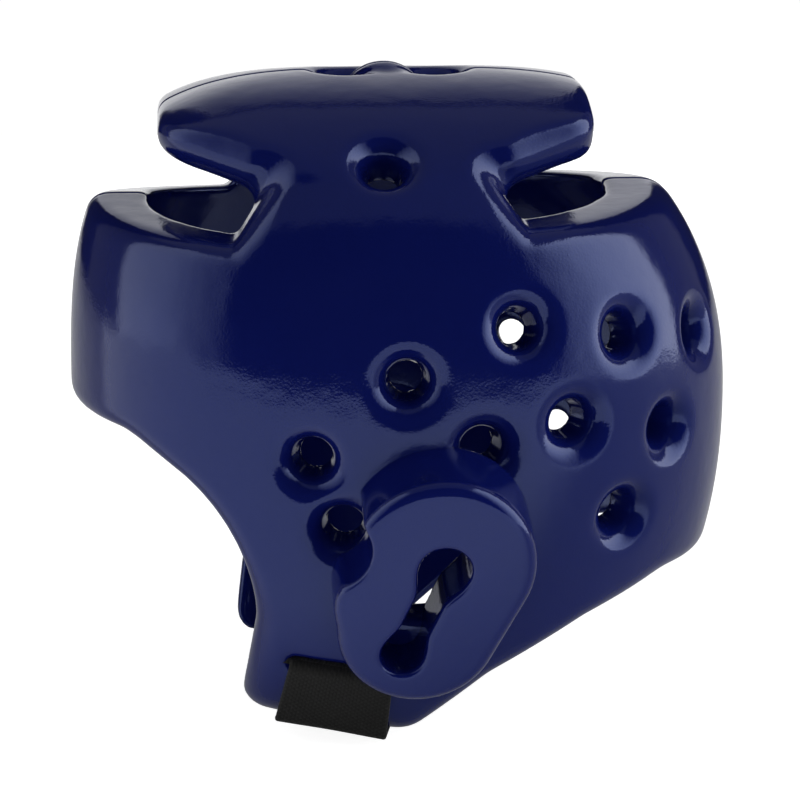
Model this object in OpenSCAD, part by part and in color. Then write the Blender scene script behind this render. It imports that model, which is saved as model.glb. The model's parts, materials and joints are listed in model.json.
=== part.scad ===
// Dipped-foam sparring head guard: two coated foam halves glued on the middle plane,
// a coated ear pad on each side and a webbing chin strap with a hook-and-loop tab.
// Frame: origin at the centre of the head, front towards -Y, wearer's left towards +X, +Z up.

/* [Shell] */
// Greatest half-width of the shell
shell_half_width = 98; // [90:0.5:106]
// Height at which the shell is widest
widest_height = 30; // [24:1:36]
// Reach of the shell in front of its plan centre
front_reach = 117.5; // [112:0.5:124]
// Reach of the shell behind its plan centre
rear_reach = 119.5; // [112:0.5:126]
// Plan centre, measured from the middle of the head
plan_centre = -2; // [-5:0.5:1]
// Height of the crown
crown_height = 122; // [118:0.5:128]
// Thickness of the foam with its coat
wall = 17; // [14:0.5:19]
// Thickness of the vinyl coat
coat = 1; // [0.8:0.1:1.4]
// Room between the coat and the foam in it
coat_room = 0.2; // [0.1:0.05:0.3]
// Thickness of the glue line between the halves
glue_line = 0.6; // [0.4:0.1:1]
// Distance that the glue between the halves stays inside their edges
glue_set_back = 4; // [3:0.5:5]

/* [Openings] */
// Height of the brow band's lower edge
band_bottom = -2; // [-6:0.5:4]
// Height of the brow band's upper edge on the middle plane
band_top = 78; // [74:0.5:82]
// Height of the rear panel's upper edge on the middle plane
rear_top = 81.5; // [77:0.5:84]
// Drop of the brow band's upper edge for each millimetre away from the middle plane
band_fall = 0.11; // [0.08:0.005:0.15]
// Drop of the rear panel's upper edge for each millimetre away from the middle plane
rear_fall = 0.09; // [0.06:0.005:0.13]
// Lowest height of the rear panel
nape_height = -51.5; // [-58:0.5:-46]
// Front edge of the cheek
cheek_front = -56.5; // [-60:0.5:-54]
// Height of the cheek's lower edge under the strap
cheek_bottom = -101; // [-103:0.5:-99]
// Slope of the cheek's lower edge, in degrees
cheek_slope = 8.5; // [6:0.5:11]

/* [Crown] */
// Front end of the crown bar
crown_front = -87; // [-90:0.5:-80]
// Rear end of the crown bar
crown_rear = 65; // [60:0.5:70]
// Half-width of the crown bar at its wings
wing_half_width = 57; // [53:0.5:60]
// Slant of the wings' edges, in degrees
wing_slant = 33.4; // [28:0.5:38]
// Corner radius of the wings
wing_corner = 12; // [10:1:14]
// Rise of the wings' edges from the neck to their ends, along the slant
wing_taper = 18; // [14:1:22]
// Front edge of the neck under the wing
neck_front = -42; // [-46:0.5:-38]
// Rear edge of the neck under the wing
neck_rear = 22; // [18:0.5:26]
// Flare of the neck for each millimetre downwards
neck_flare = 0.7; // [0.6:0.05:0.8]

/* [Vents] */
// Radius of the vents in the sides
vent_radius = 9; // [7:0.25:10]
// Radius of the vents on the middle plane
middle_vent_radius = 9.5; // [8:0.25:10.5]

/* [Ear pads] */
// Height of an ear pad's middle on the shell
pad_height = -37; // [-40:0.5:-34]
// Distance of an ear pad's middle behind the head's middle
pad_back = 5; // [2:0.5:8]
// Thickness of an ear pad at its middle
pad_thickness = 21; // [17:0.5:24]
// Downward tilt of an ear pad, in degrees
pad_tilt = 16; // [13:0.5:18]
// Radius of an ear pad's upper lobe
pad_upper_radius = 31.5; // [30:0.5:33]
// Radius of an ear pad's lower lobe
pad_lower_radius = 25.5; // [24:0.5:28]
// Thickness of the glue under an ear pad
pad_glue = 0.6; // [0.4:0.1:0.8]
// Radius of the bite that clears a vent
bite_radius = 11; // [10:0.25:12]
// Radius of the sound slot's upper lobe
slot_upper_radius = 8.6; // [7.5:0.1:9.5]
// Radius of the sound slot's lower lobe
slot_lower_radius = 7; // [6:0.1:8]
// Width of the sound slot's waist
slot_waist = 10; // [8:0.5:12]
// Width of the ear opening in the shell
ear_width = 34; // [28:1:36]
// Height of the ear opening in the shell
ear_length = 50; // [44:1:54]

/* [Strap] */
// Width of the webbing
strap_width = 40; // [36:1:42]
// Thickness of the webbing
strap_thickness = 2; // [1.6:0.1:2.4]
// Middle of the strap, along the head
strap_middle = -29; // [-31:0.5:-28]
// Height of the strap slot above the cheek's lower edge
slot_rise = 22.5; // [21:0.5:24]
// Width that the strap slot has to spare
slot_spare = 2; // [1:0.5:3]
// Height of the strap slot
slot_height = 5; // [4.5:0.25:6]
// Length of the hook-and-loop tapes
tape_length = 34; // [28:1:36]
// Thickness of each tape
tape_thickness = 1.2; // [1:0.1:1.5]
// Room between pieces that part
parting_room = 0.3; // [0.25:0.05:0.4]
// Thickness of the sewing thread
thread = 0.5; // [0.4:0.05:0.6]

/* [Hidden] */

// Shape of the shell: heights over which its sections shrink, and how square they are
equator = 5;
lower_width_depth = 193;
jaw_spare = 11;
lower_front_depth = equator - cheek_bottom + jaw_spare;
lower_rear_depth = 142;
front_squareness = 3.2;
rear_squareness = 2.2;
crown_squareness = 3.9;
plan_squareness = 2.2;
crown_plan_squareness = 4;
crown_blend_low = 90;
crown_blend_high = 100;
blend_drop_low = 0.55;
blend_drop_high = 0.6;

// Fineness of the curved shell and of rounded corners
rings = 18;
ring_start = -60;
ring_points = 18;
corner_points = 5;
$fn = 48;

// Ends of the shell before its lower edge is cut, and room for cutters
shell_low = -110;
shell_flat = 0.4;
reach = 160;
eps = 0.1;
core_depth = coat + coat_room;

// Vents in each side, as distance back and height
side_vents = [[-10, 95], [-4, 26], [-37, -1.5], [-26, -26], [22, 2], [35, 44],
    [73, 39], [102, 34.5], [54, 9.5], [90, 3], [73, -26]];
bite_vent = [-26, -26];
crown_vents = [-19.7, 11.7];
rear_vent_height = -7;

// Ear pad outline and sound slot, as distance back and up on the pad's face
pad_upper = [1.8, 10.5];
pad_lower = [-8, -18];
slot_upper = [2.4, 7.7];
slot_lower = [-11.4, -24.8];
slot_lean = atan2(slot_upper[1] - slot_lower[1], slot_upper[0] - slot_lower[0]);

// Stitches
stitch_length = 2.5;
stitch_pitch = 4;
stitch_margin = 3;

// General functions
function mix(a, b, t) = a + (b - a) * t;
function smooth(t) = let (c = min(1, max(0, t))) c * c * (3 - 2 * c);
function unit(v) = v / norm(v);

// Section of the shell at a height, at a depth below its outer face
function squareness(low, high, z, depth) =
    let (from = crown_blend_low - blend_drop_low * depth, to = crown_blend_high - blend_drop_high * depth)
    mix(low, high, smooth((z - from) / (to - from)));
function shrink(z, middle, up, down, n) =
    let (part = abs(z - middle) / (z > middle ? up : down)) pow(max(0, 1 - pow(part, n)), 1 / n);
function half_width(z, depth) = (shell_half_width - depth)
    * shrink(z, widest_height, crown_height - widest_height - depth, lower_width_depth, 2);
function front_length(z, depth) = (front_reach - depth)
    * shrink(z, equator, crown_height - equator - depth, lower_front_depth,
        squareness(front_squareness, crown_squareness, z, depth));
function rear_length(z, depth) = (rear_reach - depth)
    * shrink(z, equator, crown_height - equator - depth, lower_rear_depth,
        squareness(rear_squareness, crown_squareness, z, depth));
function plan_power(z, depth) = squareness(plan_squareness, crown_plan_squareness, z, depth);

// Half of a section, from the front of the middle plane round to its rear
function half_ring(z, depth) =
    let (w = half_width(z, depth), p = 2 / plan_power(z, depth))
    [for (i = [0:ring_points])
        let (a = -90 + 180 * i / ring_points,
            l = a < 0 ? front_length(z, depth) : rear_length(z, depth))
        [i % ring_points == 0 ? 0 : w * pow(cos(a), p),
            plan_centre + sign(a) * l * pow(abs(sin(a)), p), z]];
function ring_height(i, depth) =
    let (low = shell_low - depth / 10, high = crown_height - depth - shell_flat)
    mix(low, high, (sin(mix(ring_start, 90, i / rings)) - sin(ring_start)) / (1 - sin(ring_start)));

// Point on the outer face at a distance back and a height, and the outward direction there
function face_x(y, z) =
    let (p = plan_power(z, 0), l = y < plan_centre ? front_length(z, 0) : rear_length(z, 0))
    half_width(z, 0) * pow(max(0, 1 - pow(abs(y - plan_centre) / l, p)), 1 / p);
function face_point(y, z) = [face_x(y, z), y, z];
function face_normal(y, z) =
    unit([2, face_x(y - 1, z) - face_x(y + 1, z), face_x(y, z - 1) - face_x(y, z + 1)]);

// Outline with round corners, from corners given as [a, b, radius]
function corner(a, b, c, radius) =
    let (u = unit(a - b), v = unit(c - b), half = acos(u * v) / 2,
        centre = b + unit(u + v) * radius / sin(half),
        from = b + u * radius / tan(half) - centre, to = b + v * radius / tan(half) - centre)
    [for (i = [0:corner_points]) centre + radius * unit(mix(from, to, i / corner_points))];
function flat(p) = [p[0], p[1]];
function rounded(corners) =
    let (n = len(corners))
    [for (i = [0:n - 1])
        let (here = corners[i])
        each here[2] == 0 ? [flat(here)]
            : corner(flat(corners[(i + n - 1) % n]), flat(here), flat(corners[(i + 1) % n]), here[2])];

// Outline moved outwards by a distance, for corners that run anticlockwise
function left_of(v) = [v[1], -v[0]];
function grown(points, by) =
    let (n = len(points))
    [for (i = [0:n - 1])
        let (a = left_of(unit(points[i] - points[(i + n - 1) % n])),
            b = left_of(unit(points[(i + 1) % n] - points[i])))
        points[i] + by * (a + b) / (1 + a * b)];

// Outline round two circles
function two_circles(a, ra, b, rb, steps) =
    let (way = atan2(b[1] - a[1], b[0] - a[0]), open = acos((ra - rb) / norm(b - a)))
    concat(
        [for (i = [0:steps]) let (t = way + open + (360 - 2 * open) * i / steps)
            a + ra * [cos(t), sin(t)]],
        [for (i = [0:steps]) let (t = way - open + 2 * open * i / steps)
            b + rb * [cos(t), sin(t)]]);

// Band of a thickness along a path with round bends, given as [a, b, radius]
function open_path(corners) =
    let (n = len(corners))
    [for (i = [0:n - 1])
        let (here = corners[i])
        each here[2] == 0 ? [flat(here)]
            : corner(flat(corners[i - 1]), flat(here), flat(corners[i + 1]), here[2])];
function side_of(path, by) =
    let (n = len(path))
    [for (i = [0:n - 1])
        let (a = left_of(unit(path[max(i, 1)] - path[max(i, 1) - 1])),
            b = left_of(unit(path[min(i, n - 2) + 1] - path[min(i, n - 2)])))
        path[i] + by * (a + b) / (1 + a * b)];
function reversed(points) = [for (i = [len(points) - 1:-1:0]) points[i]];
function ribbon(corners) =
    let (path = open_path(corners))
    concat(side_of(path, strap_thickness / 2), reversed(side_of(path, -strap_thickness / 2)));

// Lower edge of the cheek, and the outline of the face and neck openings
brow_start = -100;
brow_squareness = 1.8;
brow_points = 8;
eye_middle = -58;
band_lift = 8;
jaw_front = [cheek_front - 3, 12];
jaw_rear = [-1.5, 15];
jaw_slant = [26, -82.5, 30];
nape_start = [76, 20];
function cheek_edge(y) = cheek_bottom - tan(cheek_slope) * (y - strap_middle);
brow_curve = [for (i = [0:brow_points])
    let (a = 90 * i / brow_points, p = 2 / brow_squareness)
    [brow_start + (cheek_front - brow_start) * pow(cos(a), p),
        eye_middle + (band_bottom - eye_middle) * pow(sin(a), p), 0]];
face_outline = rounded(concat(
    [[-reach, -reach, 0], [reach, -reach, 0], [reach, nape_height, 0],
        [nape_start[0], nape_height, nape_start[1]], jaw_slant,
        [jaw_rear[0], cheek_edge(jaw_rear[0]), jaw_rear[1]],
        [jaw_front[0], cheek_edge(jaw_front[0]), jaw_front[1]]],
    brow_curve,
    [[-reach, band_bottom + band_lift, 0]]));

// Gaps between the crown's wings and the band
wing_height = 103;
neck_height = 98;
function neck_line(y, side, z) = y + side * neck_flare * (neck_height - z);
front_gap = [[-reach, 0], [neck_line(neck_front, -1, 0), 0],
    [neck_line(neck_front, -1, reach), reach], [-reach, reach]];
rear_gap = [[neck_line(neck_rear, 1, 0), 0], [reach, 0],
    [reach, reach], [neck_line(neck_rear, 1, reach), reach]];
wing_side = [[wing_taper / 2, neck_front - wing_corner], [wing_taper / 2, neck_rear + wing_corner]];
wing_outline = rounded([[-2 * reach, crown_front, 0], [-wing_taper / 2, crown_front, wing_corner],
    concat(wing_side[0], wing_corner), concat(wing_side[1], wing_corner),
    [-wing_taper / 2, crown_rear, wing_corner], [-2 * reach, crown_rear, 0]]);
wing_under = wing_height - wall * cos(wing_slant);
wing_rise = wing_taper / 2 * sin(wing_slant);
under_wing = [[-reach, 0], [reach, 0], [reach, wing_under + wing_rise], [crown_rear, wing_under + wing_rise],
    [wing_side[1][1], wing_under - wing_rise], [wing_side[0][1], wing_under - wing_rise],
    [crown_front, wing_under + wing_rise], [-reach, wing_under + wing_rise]];
function above_edge(top, fall) = [[-reach, top + fall * reach], [reach, top - fall * reach],
    [reach, reach], [-reach, reach]];

// Ear pad places
pad_axis = [cos(pad_tilt), 0, -sin(pad_tilt)];
pad_face = face_point(pad_back, pad_height) + pad_thickness * pad_axis;
pad_outline = two_circles(pad_upper, pad_upper_radius, pad_lower, pad_lower_radius, 20);
pad_root = 40;
ear_middle = [-4, -6];
ear_corner = 16;
ear_outline = rounded([
    for (s = [[-1, -1], [1, -1], [1, 1], [-1, 1]])
        [ear_middle[0] + s[0] * ear_width / 2, ear_middle[1] + s[1] * ear_length / 2, ear_corner]]);

// Strap places, in the frame of the strap: outwards and up from the cheek's lower edge
strap_bow = 0.6;
strap_bend = 3;
// The strap turns to lie along the cheek, by the slope of the face near the slot
toe_height = cheek_bottom + 0.75 * slot_rise;
toe_span = strap_width / 4;
strap_toe = atan((face_x(strap_middle + toe_span, toe_height) - face_x(strap_middle - toe_span, toe_height))
    / (2 * toe_span));
strap_foot = [face_x(strap_middle, cheek_bottom), strap_middle, cheek_bottom];
slot_face = face_x(strap_middle + slot_rise * sin(cheek_slope), cheek_bottom + slot_rise * cos(cheek_slope));
slot_out = (slot_face - strap_foot[0]) * cos(strap_toe);
strap_stand = strap_thickness / 2 + parting_room + strap_bow;
under = strap_thickness / 2 + parting_room;
lift_hinge = [slot_out + strap_stand, slot_rise];
fold_hinge = [strap_stand, -under];
run_way = unit(fold_hinge - lift_hinge);
run_end = fold_hinge - run_way * under;
inner_run = -wall - strap_stand;
hook_low = strap_thickness / 2 - under;
hook_high = hook_low + tape_thickness;
loop_low = hook_high + parting_room;
loop_high = loop_low + tape_thickness;
cross_height = loop_high + strap_thickness / 2;
tape_start = inner_run - 2 * strap_bend;
tape_end = tape_start - tape_length;
tab_end = tape_end - strap_bend;
sewn_height = cross_height - strap_thickness - eps;
sewn_end = tape_end;

// Extrusions along the frame's axes
module along_x(points, from, to) {
    translate([from, 0, 0]) rotate([90, 0, 90]) linear_extrude(to - from) polygon(points);
}
module along_y(points) {
    rotate([90, 0, 0]) linear_extrude(2 * reach, center = true) polygon(points);
}
module towards(way) {
    rotate([0, acos(way[2]), atan2(way[1], way[0])]) children();
}
module on_right() {
    mirror([1, 0, 0]) children();
}

// Left half of the curved solid at a depth below the shell's outer face
module shell_loft(depth) {
    n = ring_points + 1;
    points = [for (i = [0:rings]) each half_ring(ring_height(i, depth), depth)];
    sides = [for (i = [0:rings - 1]) for (j = [0:ring_points - 1])
        [i * n + j, (i + 1) * n + j, (i + 1) * n + j + 1, i * n + j + 1]];
    middle = [for (i = [0:rings - 1])
        [i * n + ring_points, (i + 1) * n + ring_points, (i + 1) * n, i * n]];
    low = [[for (j = [0:ring_points]) j]];
    high = [[for (j = [ring_points:-1:0]) rings * n + j]];
    polyhedron(points, concat(sides, middle, low, high), convexity = 4);
}

// Cutters for the shell, larger by a margin
module vent(place, radius, length = wall) {
    translate(face_point(place[0], place[1])) towards(face_normal(place[0], place[1]))
        cylinder(r = radius, h = 3 * length, center = true);
}
module middle_vents(margin) {
    radius = middle_vent_radius + margin;
    for (y = crown_vents)
        translate([0, y, crown_height - 2 * wall]) cylinder(r = radius, h = 3 * wall);
    translate([0, rear_reach - 2 * wall, rear_vent_height]) rotate([-90, 0, 0])
        cylinder(r = radius, h = 3 * wall);
}
module gap_cutter(outline, top, fall, margin) {
    intersection() {
        translate([0, 0, -margin]) along_y(above_edge(top, fall));
        union() {
            translate([wing_half_width, 0, wing_height]) rotate([0, wing_slant, 0])
                linear_extrude(2 * reach, center = true)
                difference() {
                    square(5 * reach, center = true);
                    polygon(grown(wing_outline, -margin));
                }
            along_x(grown(under_wing, margin), -reach, reach);
        }
        along_x(grown(outline, margin), -reach, reach);
    }
}
module pad_place() {
    translate(pad_face) rotate([0, 90 + pad_tilt, 0]) rotate([0, 0, 90]) children();
}
module ear_opening(margin) {
    pad_place() translate([0, 0, -2 * pad_root]) linear_extrude(2 * pad_root)
        polygon(grown(ear_outline, margin));
}
module strap_place() {
    translate(strap_foot) rotate([-cheek_slope, 0, 0]) rotate([0, 0, -strap_toe]) children();
}
module strap_slot(margin) {
    strap_place() translate([slot_out, 0, slot_rise])
        cube([4 * wall, strap_width + slot_spare + 2 * margin, slot_height + 2 * margin], center = true);
}

// Left half of the shell, with every face set in by a depth, from a distance off the middle plane
module half_body(depth, start) {
    difference() {
        intersection() {
            shell_loft(depth);
            translate([start, -reach, -reach]) cube(2 * reach);
        }
        shell_loft(wall - depth);
        along_x(grown(face_outline, depth), -1, reach);
        gap_cutter(front_gap, band_top, band_fall, depth);
        gap_cutter(rear_gap, rear_top, rear_fall, depth);
        for (place = side_vents)
            vent(place, vent_radius + depth);
        middle_vents(depth);
        ear_opening(depth);
        strap_slot(depth);
    }
}
module half_core() {
    half_body(core_depth, glue_line / 2);
}
module half_coat() {
    difference() {
        half_body(0, eps);
        half_body(coat, eps / 2);
    }
}

// Glue lines between the foam halves, as the section of the shell on its middle plane
function section(depth) = concat(
    [for (i = [0:rings]) let (z = ring_height(i, depth)) [plan_centre + rear_length(z, depth), z]],
    [for (i = [rings:-1:0]) let (z = ring_height(i, depth)) [plan_centre - front_length(z, depth), z]]);
module middle_section() {
    difference() {
        polygon(section(glue_set_back));
        polygon(section(wall - glue_set_back));
        polygon(grown(face_outline, glue_set_back));
        for (y = crown_vents)
            translate([y, crown_height])
                square([2 * (middle_vent_radius + glue_set_back), 4 * wall], center = true);
        translate([rear_reach, rear_vent_height])
            square([4 * wall, 2 * (middle_vent_radius + glue_set_back)], center = true);
    }
}
module glue_strip(low, high) {
    translate([-glue_line / 2, 0, 0]) rotate([90, 0, 90]) linear_extrude(glue_line)
        intersection() {
            middle_section();
            translate(low) square(high - low);
        }
}

// Ear pad, with every face set in by a depth, standing off the shell by a distance
module pad_slot(margin) {
    length = norm(slot_upper - slot_lower);
    pad_place() translate([0, 0, -2 * pad_root]) linear_extrude(3 * pad_root) {
        translate(slot_upper) circle(slot_upper_radius + margin);
        translate(slot_lower) circle(slot_lower_radius + margin);
        translate((slot_upper + slot_lower) / 2) rotate(slot_lean)
            square([length, slot_waist + 2 * margin], center = true);
    }
}
module pad_prism(depth) {
    difference() {
        pad_place() translate([0, 0, -pad_root]) linear_extrude(pad_root - depth)
            polygon(grown(pad_outline, -depth));
        vent(bite_vent, bite_radius + depth, 2 * pad_root);
        pad_slot(depth);
    }
}
module pad_body(depth, base) {
    difference() {
        pad_prism(depth);
        shell_loft(-base);
    }
}
module pad_core() {
    pad_body(core_depth, pad_glue);
}
module pad_coat() {
    difference() {
        pad_body(0, pad_glue);
        pad_body(coat, pad_glue - eps);
    }
}
module pad_glue_layer() {
    difference() {
        intersection() {
            pad_prism(core_depth);
            shell_loft(-pad_glue);
        }
        shell_loft(0);
        ear_opening(0);
        for (place = side_vents)
            vent(place, vent_radius);
    }
}

// Webbing across the width of the strap
module webbing() {
    strap_place() rotate([90, 0, 0]) linear_extrude(strap_width, center = true) children();
}
module fixed_webbing() {
    polygon(ribbon([[lift_hinge[0] - under - strap_bow, slot_rise, 0],
        [slot_out - wall - strap_stand, slot_rise, strap_bend],
        [inner_run, cross_height, strap_bend], [-reach, cross_height, 0]]));
}
module sewn_webbing() {
    polygon(ribbon([[-reach, cross_height, 0], [inner_run, cross_height, strap_bend],
        [slot_out - wall - strap_stand, slot_rise, strap_bend], [lift_hinge[0], slot_rise, strap_bend / 2],
        [fold_hinge[0], fold_hinge[1], strap_bend / 2], [inner_run, -under, strap_bend],
        [tape_start, sewn_height, strap_bend], [sewn_end, sewn_height, 0]]));
}
module left_of_middle() {
    intersection() {
        children();
        translate([-eps, -reach, -reach]) cube(2 * reach);
    }
}
module stitch_rows(from, to, height) {
    rows = strap_width / 2 - stitch_margin;
    count = floor((from - to - 2 * stitch_margin) / stitch_pitch);
    strap_place() for (side = [-1, 1]) for (i = [0:count])
        translate([from - stitch_margin - i * stitch_pitch, side * rows, height])
            cube([stitch_length, thread, thread], center = true);
}
module tape(low) {
    strap_place() translate([tape_end, -strap_width / 2, low])
        cube([tape_length, strap_width, tape_thickness]);
}

// Sub-parts
module left_foam_core() { color("lightsteelblue") half_core(); }
module right_foam_core() { color("lightsteelblue") on_right() half_core(); }
module left_vinyl_coat() { color("midnightblue") half_coat(); }
module right_vinyl_coat() { color("midnightblue") on_right() half_coat(); }
module front_seam_glue() {
    color("beige") glue_strip([-reach, -reach], [crown_front, band_top - glue_set_back]);
}
module crown_seam_glue() {
    color("beige") glue_strip([crown_front + glue_set_back, rear_top], [crown_rear - glue_set_back, reach]);
}
module rear_seam_glue() {
    color("beige") glue_strip([crown_rear, -reach], [reach, rear_top - glue_set_back]);
}
module left_ear_pad_core() { color("lightsteelblue") pad_core(); }
module right_ear_pad_core() { color("lightsteelblue") on_right() pad_core(); }
module left_ear_pad_coat() { color("midnightblue") pad_coat(); }
module right_ear_pad_coat() { color("midnightblue") on_right() pad_coat(); }
module left_ear_pad_glue() { color("beige") pad_glue_layer(); }
module right_ear_pad_glue() { color("beige") on_right() pad_glue_layer(); }
module chin_strap() {
    color("black") {
        left_of_middle() webbing() fixed_webbing();
        on_right() left_of_middle() webbing() sewn_webbing();
    }
}
module strap_outer_run() {
    color("black") webbing() union() {
        translate(lift_hinge) circle(strap_thickness / 2);
        polygon(ribbon([[lift_hinge[0], lift_hinge[1], 0], [run_end[0], run_end[1], 0]]));
    }
}
module hook_tab() {
    color("black") webbing() union() {
        translate(fold_hinge) circle(strap_thickness / 2);
        polygon(ribbon([[fold_hinge[0], fold_hinge[1], 0], [tab_end, -under, 0]]));
    }
}
module hook_tape() { color("dimgray") tape(hook_low); }
module loop_tape() { color("dimgray") tape(loop_low); }
module hook_tape_stitching() {
    color("gray") stitch_rows(tape_start, tape_end, -under - strap_thickness / 2 - thread / 2);
}
module loop_tape_stitching() {
    color("gray") stitch_rows(tape_start, tape_end, cross_height + strap_thickness / 2 + thread / 2);
}
module right_loop_stitching() {
    color("gray") on_right()
        stitch_rows(tape_start, sewn_end, sewn_height - strap_thickness / 2 - thread / 2);
}

left_foam_core();
right_foam_core();
left_vinyl_coat();
right_vinyl_coat();
front_seam_glue();
crown_seam_glue();
rear_seam_glue();
left_ear_pad_core();
right_ear_pad_core();
left_ear_pad_coat();
right_ear_pad_coat();
left_ear_pad_glue();
right_ear_pad_glue();
chin_strap();
strap_outer_run();
hook_tab();
hook_tape();
loop_tape();
hook_tape_stitching();
loop_tape_stitching();
right_loop_stitching();
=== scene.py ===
import json
import math

import bmesh
import bpy
import numpy as np
import openvdb
from mathutils import Matrix, Vector

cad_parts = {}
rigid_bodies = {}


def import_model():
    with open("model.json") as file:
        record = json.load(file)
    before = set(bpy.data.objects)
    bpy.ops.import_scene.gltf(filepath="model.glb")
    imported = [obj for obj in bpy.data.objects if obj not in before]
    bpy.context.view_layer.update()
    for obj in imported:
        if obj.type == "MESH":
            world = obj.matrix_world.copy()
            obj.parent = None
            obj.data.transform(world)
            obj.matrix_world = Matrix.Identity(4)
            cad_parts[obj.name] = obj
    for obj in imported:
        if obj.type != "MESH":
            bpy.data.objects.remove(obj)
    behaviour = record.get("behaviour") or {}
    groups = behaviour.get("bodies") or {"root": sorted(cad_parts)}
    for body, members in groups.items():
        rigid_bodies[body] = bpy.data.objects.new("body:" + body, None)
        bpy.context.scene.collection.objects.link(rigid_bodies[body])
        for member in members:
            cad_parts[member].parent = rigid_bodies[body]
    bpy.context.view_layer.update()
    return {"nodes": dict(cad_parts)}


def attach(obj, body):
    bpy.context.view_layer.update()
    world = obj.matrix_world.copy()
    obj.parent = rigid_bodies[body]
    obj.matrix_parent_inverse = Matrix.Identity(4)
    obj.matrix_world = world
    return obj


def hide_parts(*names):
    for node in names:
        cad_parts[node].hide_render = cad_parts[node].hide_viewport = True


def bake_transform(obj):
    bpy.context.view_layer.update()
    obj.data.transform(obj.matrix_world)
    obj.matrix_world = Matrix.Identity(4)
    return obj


for leftover in list(bpy.data.objects):
    bpy.data.objects.remove(leftover)
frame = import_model()

# Sizes in millimetres, in the frame of the part: front towards -Y, wearer's left +X, +Z up
MM = 0.001

# Shell
SHELL_HALF_WIDTH = 98.0
WIDEST_HEIGHT = 30.0
FRONT_REACH = 117.5
REAR_REACH = 119.5
PLAN_CENTRE = -2.0
CROWN_HEIGHT = 122.0
WALL = 17.0
EQUATOR = 5.0
LOWER_WIDTH_DEPTH = 193.0
LOWER_FRONT_DEPTH = 117.0
LOWER_REAR_DEPTH = 142.0
FRONT_SQUARENESS = 3.2
REAR_SQUARENESS = 2.2
CROWN_SQUARENESS = 3.45
PLAN_SQUARENESS = 2.2
CROWN_PLAN_SQUARENESS = 4.0
CROWN_BLEND_LOW = 90.0
CROWN_BLEND_HIGH = 100.0
BLEND_DROP_LOW = 0.55
BLEND_DROP_HIGH = 0.6

# Openings of the shell
BAND_BOTTOM = -2.0
BAND_TOP = 78.0
REAR_TOP = 81.5
BAND_FALL = 0.11
REAR_FALL = 0.09
NAPE_HEIGHT = -51.5
CHEEK_FRONT = -54.8
CHEEK_BOTTOM = -101.0
CHEEK_SLOPE = math.radians(8.5)
BROW_START = -100.0
BROW_SQUARENESS = 1.8
BROW_STEPS = 12
EYE_MIDDLE = -61.0
BAND_LIFT = 11.0
BROW_LIFT = 5.5
BROW_LIFT_START = -84.0
BROW_LIFT_SPAN = 22.0
JAW_FRONT_RADIUS = 8.5
JAW_FLARE = 6.2
JAW_DROP = 4.0
JAW_REAR = (-1.5, 15.0)
JAW_SLANT = (26.0, -82.5, 30.0)
NAPE_SLANT = (60.0, -63.5, 30.0)
NAPE_START = (90.0, 20.0)
REACH = 160.0

# Crown bar
CROWN_FRONT = -87.0
CROWN_REAR = 65.0
WING_HALF_WIDTH = 57.0
WING_HEIGHT = 103.0
WING_SLANT = math.radians(33.4)
WING_CORNER = 12.0
WING_TAPER = 18.0
WING_FRONT_RISE = 4.0
WING_TIP_RADIUS = 20.0
NECK_FRONT = -42.0
NECK_REAR = 22.0
NECK_HEIGHT = 98.0
NECK_FLARE = 0.7
BUMP_MIDDLE = (0.0, -6.0, 113.0)
BUMP_SIZE = (13.0, 14.0, 11.3)
BUMP_BLEND = 2.0

# Vents: distance back and height on the sides, and their places on the middle plane
VENT_RADIUS = 8.8
VENT_TAPER = 0.22
MIDDLE_VENT_RADIUS = 9.2
SIDE_VENTS = [(-10, 97), (-4, 26), (-37, -1.5), (-26, -26), (22, 2), (35, 44),
              (73, 39), (102, 34.5), (54, 9.5), (90, 3), (73, -26)]
CROWN_VENTS = (-19.7, 11.7)
REAR_VENT_HEIGHT = -7.0

# Ear pads
PAD_PLACE = (5.0, -37.0)
PAD_THICKNESS = 21.0
PAD_TILT = math.radians(16.0)
PAD_UPPER = (1.8, 8.8, 31.8)
PAD_LOWER = (-6.0, -16.4, 27.6)
SLOT_UPPER = (2.4, 7.7, 8.6)
SLOT_LOWER = (-11.4, -24.8, 6.2)
SLOT_BLEND = 6.0
SLOT_WAIST = 10.0
WAIST_TAPER = 0.01
PAD_BITE = (-36.5, 15.8, 14.3)
PAD_CORNER = (-26.0, -6.0, 7.6)
PAD_CORNER_BLEND = 6.0
EAR_MIDDLE = (-4.0, -2.0)
EAR_SIZE = (34.0, 42.0)
EAR_CORNER = 16.0
PAD_SINK = 2.0

# Strap
STRAP_WIDTH = 40.0
STRAP_THICKNESS = 2.0
STRAP_MIDDLE = -29.0
STRAP_BOW = 0.6
STRAP_BEND = 3.0
SLOT_RISE = 22.5
SLOT_SPARE = 2.0
SLOT_HEIGHT = 4.4
SLOT_CORNER = 2.0
TOE_SHARE = 0.75
TAPE_LENGTH = 34.0
TAPE_THICKNESS = 1.2
TAPE_INSET = 1.0
PARTING_ROOM = 0.3
THREAD = 0.5
STITCH_LENGTH = 2.5
STITCH_PITCH = 4.0
STITCH_MARGIN = 3.0
STITCH_RINGS = 9
STITCH_SIDES = 8
FRONT_DRAWN = 3.5

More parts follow.
